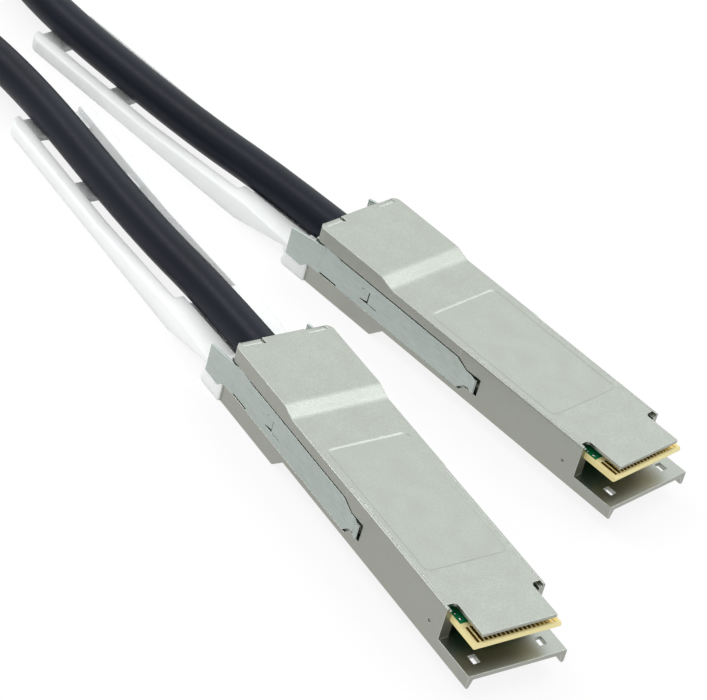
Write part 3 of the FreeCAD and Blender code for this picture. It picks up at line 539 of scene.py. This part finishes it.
# %% [markdown]
# ## Effects that several finishes share
# Fine grain and the edges' mask, for wear and a painted highlight, turn up on many of the pieces, so
# each is a node group that is built once. A group gives masks and a normal only, and each material
# decides what to do with them. All patterns are sized in millimetres, because a Mapping node turns
# the coordinates into each plug's own frame in millimetres first.


# %% a helper for node groups
def new_group(name, inputs, outputs):
    """An empty shader group with float or vector sockets, and its two end nodes."""
    group = bpy.data.node_groups.new(name, "ShaderNodeTree")
    for socket, kind, value in inputs:
        made = group.interface.new_socket(socket, in_out="INPUT", socket_type="NodeSocket" + kind)
        if kind == "Float":
            made.default_value = value
    for socket, kind in outputs:
        group.interface.new_socket(socket, in_out="OUTPUT", socket_type="NodeSocket" + kind)
    print("group", name, "gives", [socket for socket, kind in outputs])
    return group, group.nodes.new("NodeGroupInput"), group.nodes.new("NodeGroupOutput")


# %% [markdown]
# ### Grain
# A blasted casting, rolled sheet and moulded plastic all have a fine grain and slow clouds of tone.
# Two noise textures give both from one scale. The fine one also drives a shallow bump, over a normal
# that a Bevel node has turned a little at the edges that aren't modelled round.

# %% grain
BUMP_DEPTH = 0.02
CLOUD_SIZE = 0.05  # the clouds' scale as a share of the grain's
grain, start, end = new_group(
    "surface_grain",
    [
        ("Vector", "Vector", None), ("Scale", "Float", 4.0), ("Relief", "Float", 0.2),
        ("Ease", "Float", 0.1),
    ],
    [("Fine", "Float"), ("Cloud", "Float"), ("Normal", "Vector")],
)
fine = grain.nodes.new("ShaderNodeTexNoise")
fine.inputs["Detail"].default_value = 4
fine.inputs["Roughness"].default_value = 0.65
cloud = grain.nodes.new("ShaderNodeTexNoise")
cloud.inputs["Detail"].default_value = 2
ease = grain.nodes.new("ShaderNodeBevel")
ease.samples = 6
bump = grain.nodes.new("ShaderNodeBump")
bump.inputs["Distance"].default_value = BUMP_DEPTH * MM
ease_radius = value_node(grain, "MULTIPLY", start.outputs["Ease"], MM)
cloud_scale = value_node(grain, "MULTIPLY", start.outputs["Scale"], CLOUD_SIZE)
for output, socket in (
    (ease_radius, ease.inputs["Radius"]),
    (ease.outputs["Normal"], bump.inputs["Normal"]),
    (start.outputs["Vector"], fine.inputs["Vector"]),
    (start.outputs["Vector"], cloud.inputs["Vector"]),
    (start.outputs["Scale"], fine.inputs["Scale"]),
    (cloud_scale, cloud.inputs["Scale"]),
    (start.outputs["Relief"], bump.inputs["Strength"]),
    (fine.outputs["Fac"], bump.inputs["Height"]),
    (fine.outputs["Fac"], end.inputs["Fine"]),
    (cloud.outputs["Fac"], end.inputs["Cloud"]),
    (bump.outputs["Normal"], end.inputs["Normal"]),
):
    grain.links.new(output, socket)
print("grain nodes:", len(grain.nodes))

# %% [markdown]
# ### Worn edges and a painted highlight
# Handling polishes plated metal on its edges first, and the metals also lighten the edges' colour as
# a painted highlight. A Bevel node's normal leaves the face's own near an edge, so how far the two
# part is a mask of the edges, as wide as the Bevel node's radius.

# %% worn edges and painted highlight
PARTS_LITTLE, PARTS_MUCH = 0.995, 0.80
wear_and_sheen, start, end = new_group("worn_and_sheen_edges", [("Radius", "Float", 0.15)], [("Edge", "Float")])
soft = wear_and_sheen.nodes.new("ShaderNodeBevel")
soft.samples = 4
own_normal = wear_and_sheen.nodes.new("ShaderNodeNewGeometry")
facing = wear_and_sheen.nodes.new("ShaderNodeVectorMath")
facing.operation = "DOT_PRODUCT"
spread = wear_and_sheen.nodes.new("ShaderNodeMapRange")
spread.inputs["From Min"].default_value = PARTS_LITTLE
spread.inputs["From Max"].default_value = PARTS_MUCH
wear_radius = value_node(wear_and_sheen, "MULTIPLY", start.outputs["Radius"], MM)
for output, socket in (
    (wear_radius, soft.inputs["Radius"]),
    (soft.outputs["Normal"], facing.inputs[0]),
    (own_normal.outputs["Normal"], facing.inputs[1]),
    (facing.outputs["Value"], spread.inputs["Value"]),
    (spread.outputs["Result"], end.inputs["Edge"]),
):
    wear_and_sheen.links.new(output, socket)
print("wear nodes:", len(wear_and_sheen.nodes))

# %% [markdown]
# ## How a material is put together
# Each plug has materials of its own, because the grain has to lie the same way on both, and the
# Mapping node that turns it knows one place only. Four more helpers put a group in a material, mix
# two colours by a mask, stretch a narrow span of a mask over a wider one, and give the span of
# roughness round a middle value.


# %% a new material
def new_material(name, tag=None):
    """A material, its shader, and coordinates in millimetres: the plug's own, or the model's."""
    material = bpy.data.materials.new(name if tag is None else f"{name}_{tag}")
    material.use_nodes = True
    tree = material.node_tree
    shader = tree.nodes["Principled BSDF"]
    spot = tree.nodes.new("ShaderNodeTexCoord")
    frame_map = tree.nodes.new("ShaderNodeMapping")
    frame_map.vector_type = "TEXTURE"
    frame_map.inputs["Scale"].default_value = (MM, MM, MM)
    if tag:
        frame_map.inputs["Location"].default_value = PLACE[tag].translation
        frame_map.inputs["Rotation"].default_value = PLACE[tag].to_euler()
    tree.links.new(spot.outputs["Object"], frame_map.inputs["Vector"])
    return material, tree, shader, frame_map.outputs["Vector"]


print("patterns on plug B are turned by", round(math.degrees(TURN), 1), "degrees")


# %% helpers for masks and colours
def placed(tree, group, **given):
    """A group node's outputs; each named input is a number or another node's output."""
    node = tree.nodes.new("ShaderNodeGroup")
    node.node_tree = group
    for name, value in given.items():
        if isinstance(value, (int, float)):
            node.inputs[name].default_value = value
        else:
            tree.links.new(value, node.inputs[name])
    return node.outputs


def blended(tree, amount, first, second):
    """A colour between two, by an amount from 0 to 1; each colour is a triple or an output."""
    node = tree.nodes.new("ShaderNodeMix")
    node.data_type = "RGBA"
    tree.links.new(amount, node.inputs["Factor"])
    for socket, given in ((node.inputs[6], first), (node.inputs[7], second)):
        if isinstance(given, tuple):
            socket.default_value = (*given, 1)
        else:
            tree.links.new(given, socket)
    return node.outputs[2]


def ranged(tree, value, span, to_span=(0, 1)):
    """The value mapped from one span to another, and clamped."""
    node = tree.nodes.new("ShaderNodeMapRange")
    ends = zip(("From Min", "From Max", "To Min", "To Max"), (*span, *to_span))
    for name, number in ends:
        node.inputs[name].default_value = number
    tree.links.new(value, node.inputs["Value"])
    return node.outputs["Result"]


def about(rough):
    """The span of roughness that a grain gives a surface."""
    return rough - 0.04, rough + 0.05


print("a roughness of 0.4 ranges over", [round(end, 2) for end in about(0.4)])

# %% [markdown]
# ## Metals
# Nickel on a blasted casting is a pale, slightly green grey with a fine even grain. The grain shifts
# colour and roughness a little and gives a shallow bump. Clouds of a warmer tone stop large flats
# from looking printed. The rounded edges are smoothed by handling and get a lighter colour, a painted
# highlight. Upright walls get a darker, warmer colour, which is painted shade on the flanks. Rolled
# steel has the same build with its grain stretched along the strip.

# %% the metals' looks
METALS = {
    # Satin nickel's flank colour is painted shade on upright walls, and its larger edge gain a
    # painted highlight.
    "satin_nickel": dict(
        pale=(0.43, 0.455, 0.42), deep=(0.405, 0.42, 0.385), rough=0.38, scale=5.0, relief=0.35,
        ease=0.16, edge_sheen_gain=1.6, flank=(0.34, 0.345, 0.30),
    ),
    "latch_steel": dict(
        pale=(0.50, 0.56, 0.525), deep=(0.465, 0.52, 0.49), rough=0.36, scale=7.0, relief=0.2,
        along=0.06,
    ),
    "ferrule_steel": dict(
        pale=(0.55, 0.55, 0.54), deep=(0.48, 0.48, 0.47), rough=0.32, scale=6.0, relief=0.2,
    ),
    "spring_steel": dict(
        pale=(0.50, 0.50, 0.49), deep=(0.42, 0.42, 0.42), rough=0.28, scale=9.0, relief=0.15,
    ),
    "gold_plate": dict(
        pale=(0.72, 0.50, 0.16), deep=(0.60, 0.40, 0.11), rough=0.30, scale=9.0, relief=0.15,
    ),
    "core_foil": dict(
        pale=(0.62, 0.62, 0.62), deep=(0.50, 0.50, 0.50), rough=0.38, scale=3.0, relief=0.8,
    ),
}
print("metals:", list(METALS))

# %% [markdown]
# ### A metal's layers
# The colour goes on in layers, as it would be described to a painter: two tones in clouds, darker
# specks of the grain, painted shade on the flanks if the metal has them, and worn edges last,
# lightened by a painted highlight.

# %% metals
WEAR_AND_SHEEN_WIDE = 0.14
POLISH = 0.12          # how much smoother a worn edge is
SPECK_SHADE = 0.80
# how much of the painted shade colour a fully upright wall takes
FLANK_SHADE_SHARE = 0.55


def metal(name, tag, pale, deep, rough, scale, relief, along=1.0, ease=0.06, edge_sheen_gain=1.15,
          flank=None):
    """Metal with grain, clouds, painted shade on its flanks if given, and worn edges with a painted
    highlight; along stretches the grain down the strip.
    """
    material, tree, shader, where = new_material(name, tag)
    if along != 1.0:
        stretch = tree.nodes.new("ShaderNodeMapping")
        stretch.inputs["Scale"].default_value = (1, along, 1)
        tree.links.new(where, stretch.inputs["Vector"])
        where = stretch.outputs["Vector"]
    skin = placed(tree, grain, Vector=where, Scale=scale, Relief=relief, Ease=ease)
    edge = placed(tree, wear_and_sheen, Radius=WEAR_AND_SHEEN_WIDE)["Edge"]
    colour = blended(tree, ranged(tree, skin["Cloud"], (0.35, 0.65)), pale, deep)
    speck = tuple(channel * SPECK_SHADE for channel in deep)
    colour = blended(tree, ranged(tree, skin["Fine"], (0.3, 0.75)), colour, speck)
    # Painted shade: upright walls are mixed towards the darker flank colour.
    if flank:
        parts = tree.nodes.new("ShaderNodeSeparateXYZ")
        own_normal = tree.nodes.new("ShaderNodeNewGeometry").outputs["Normal"]
        tree.links.new(own_normal, parts.inputs[0])
        upright = value_node(tree, "ABSOLUTE", parts.outputs["Z"], 0)
        share = ranged(tree, upright, (0.7, 0.1), (0, FLANK_SHADE_SHARE))
        colour = blended(tree, share, colour, flank)
    # Worn edges: smoother from polish, and a lighter colour that is a painted highlight.
    worn_and_sheen_colour = tuple(min(channel * edge_sheen_gain, 0.95) for channel in pale)
    tree.links.new(blended(tree, edge, colour, worn_and_sheen_colour), shader.inputs["Base Color"])
    polished = value_node(tree, "MULTIPLY", edge, POLISH)
    even = ranged(tree, skin["Fine"], (0.3, 0.7), about(rough))
    tree.links.new(value_node(tree, "SUBTRACT", even, polished), shader.inputs["Roughness"])
    tree.links.new(skin["Normal"], shader.inputs["Normal"])
    shader.inputs["Metallic"].default_value = 1.0
    return material


finishes = {}
for tag in "ab":
    for name, look in METALS.items():
        finishes[name, tag] = metal(name, tag, **look)
print("metal finishes:", len(finishes))

# %% [markdown]
# ## The card
# A circuit board is pale glass weave that shows at its cut edges and round the contacts, under a
# green mask over the rest of both faces. One material can hold both: a few tests of where the point
# is, in the plug's own frame, make the mask's outline. The weave is two crossed sets of fine waves.

# %% card
mask_side = (card_high.x - 0.28, card_high.x - 0.34)    # no mask on a narrow rim at the sides
mask_front = (contacts_rear + 0.9, contacts_rear + 1.0)  # nor round the contacts
card_middle = (card_low.z + card_high.z) / 2
CARD_FACE = (0.46, 0.49)     # further from its middle than this is a face, not a cut edge


def card_material(tag):
    """Green mask over glass weave, with the weave bare at the cut edges and round the contacts."""
    material, tree, shader, where = new_material("card_laminate", tag)
    parts = tree.nodes.new("ShaderNodeSeparateXYZ")
    tree.links.new(where, parts.inputs[0])
    inside = ranged(tree, value_node(tree, "ABSOLUTE", parts.outputs["X"], 0), mask_side)
    behind = ranged(tree, parts.outputs["Y"], mask_front)
    off_middle = value_node(tree, "SUBTRACT", parts.outputs["Z"], card_middle)
    on_face = ranged(tree, value_node(tree, "ABSOLUTE", off_middle, 0), CARD_FACE)
    outline = value_node(tree, "MULTIPLY", inside, behind)
    masked = value_node(tree, "MULTIPLY", outline, on_face)
    weave = []
    for direction in ("X", "Y"):
        wave = tree.nodes.new("ShaderNodeTexWave")
        wave.bands_direction = direction
        wave.inputs["Scale"].default_value = 1.1
        wave.inputs["Distortion"].default_value = 0.6
        tree.links.new(where, wave.inputs["Vector"])
        weave.append(wave.outputs["Fac"])
    crossed = value_node(tree, "MULTIPLY", *weave)
    skin = placed(tree, grain, Vector=where, Scale=6.0, Relief=0.2)
    glass = blended(tree, crossed, (0.84, 0.73, 0.34), (0.90, 0.81, 0.46))
    mask = blended(tree, skin["Cloud"], (0.004, 0.12, 0.04), (0.010, 0.22, 0.075))
    tree.links.new(blended(tree, masked, glass, mask), shader.inputs["Base Color"])
    tree.links.new(ranged(tree, masked, (0, 1), (0.6, 0.22)), shader.inputs["Roughness"])
    tree.links.new(skin["Normal"], shader.inputs["Normal"])
    return material


for tag in "ab":
    finishes["card_laminate", tag] = card_material(tag)
print("card mask starts", round(mask_front[0], 2), "mm from the nose")

# %% [markdown]
# ## Plastics, resin and ceramic
# The small parts on the card differ from each other in gloss more than in colour, and the resin
# round the cores is plain black. All have a faint texture, from a mould or a press.

# %% the plastics' looks
PLASTICS = {
    "capacitor_ceramic": dict(
        pale=(0.25, 0.17, 0.11), deep=(0.20, 0.13, 0.08), rough=0.45, scale=8.0, relief=0.3,
    ),
    "chip_black": dict(
        pale=(0.012, 0.012, 0.013), deep=(0.02, 0.02, 0.02), rough=0.5, scale=9.0, relief=0.5,
    ),
    "holder_resin": dict(
        pale=(0.02, 0.02, 0.02), deep=(0.03, 0.03, 0.03), rough=0.45, scale=4.0, relief=0.3,
    ),
    "tab_plastic": dict(
        pale=(0.93, 0.945, 0.945), deep=(0.90, 0.92, 0.915), rough=0.40, scale=2.5, relief=0.25,
    ),
}
print("plastics:", list(PLASTICS))


# %% plastics
def plastic(name, tag, pale, deep, rough, scale, relief, gloss=0.5):
    """Plastic with two slowly changing tones and a faint texture."""
    material, tree, shader, where = new_material(name, tag)
    skin = placed(tree, grain, Vector=where, Scale=scale, Relief=relief)
    tone = blended(tree, ranged(tree, skin["Cloud"], (0.3, 0.7)), pale, deep)
    tree.links.new(tone, shader.inputs["Base Color"])
    even = ranged(tree, skin["Fine"], (0.3, 0.7), about(rough))
    tree.links.new(even, shader.inputs["Roughness"])
    tree.links.new(skin["Normal"], shader.inputs["Normal"])
    shader.inputs["Specular IOR Level"].default_value = gloss
    return material


for tag in "ab":
    for name, look in PLASTICS.items():
        finishes[name, tag] = plastic(name, tag, **look)
print("finishes so far:", len(finishes))

# %% [markdown]
# ### Milky tabs
# The tab is a soft milky plastic: light goes in and comes out again a few millimetres on, which
# fills its shaded sides. Subsurface scattering does just that.

# %% milky tabs
for tag in "ab":
    shader = finishes["tab_plastic", tag].node_tree.nodes["Principled BSDF"]
    shader.inputs["Subsurface Weight"].default_value = 0.5
    shader.inputs["Subsurface Radius"].default_value = (1.0, 1.0, 1.0)
    shader.inputs["Subsurface Scale"].default_value = 2.5 * MM
print("light spreads in the tabs by", round(shader.inputs["Subsurface Scale"].default_value, 4))

# %% [markdown]
# ### Jacket
# The jacket is a satin black with a blue cast. Its gloss is low, so that the bright floor doesn't
# wash it out, and just smooth enough for a long soft highlight to run down both leads.

# %% jacket
jacket = plastic(
    "cable_jacket", None, (0.002, 0.004, 0.011), (0.003, 0.006, 0.015), rough=0.43, scale=1.6,
    relief=0.6, gloss=0.2,
)
cable.data.materials.append(jacket)
print("jacket finish:", jacket.name)

# %% [markdown]
# ### Solder
# Fresh solder is the brightest metal on the card: pale tin, and smoother than the plated shell.

# %% solder finish
for tag in "ab":
    tin = metal(
        "solder_tin", tag, (0.80, 0.81, 0.82), (0.70, 0.71, 0.73), rough=0.22, scale=6.0, relief=0.4
    )
    dressed["solder_" + tag].data.materials.append(tin)
print("solder finish:", tin.name)

# %% [markdown]
# ## Every piece gets its finish
# The record names a material slot for each node. A piece made here takes the finish into its own
# mesh. A CAD node keeps its mesh as it is, and gets the finish on its object instead.

# %% dress the nodes
for name, node in nodes.items():
    if name == "cable":
        continue
    finish = finishes[slots[name], name[-1]]
    if name in dressed:
        dressed[name].data.materials.append(finish)
    else:
        node.material_slots[0].link = "OBJECT"
        node.material_slots[0].material = finish
print("finishes:", len(finishes), "nodes dressed:", len(nodes))
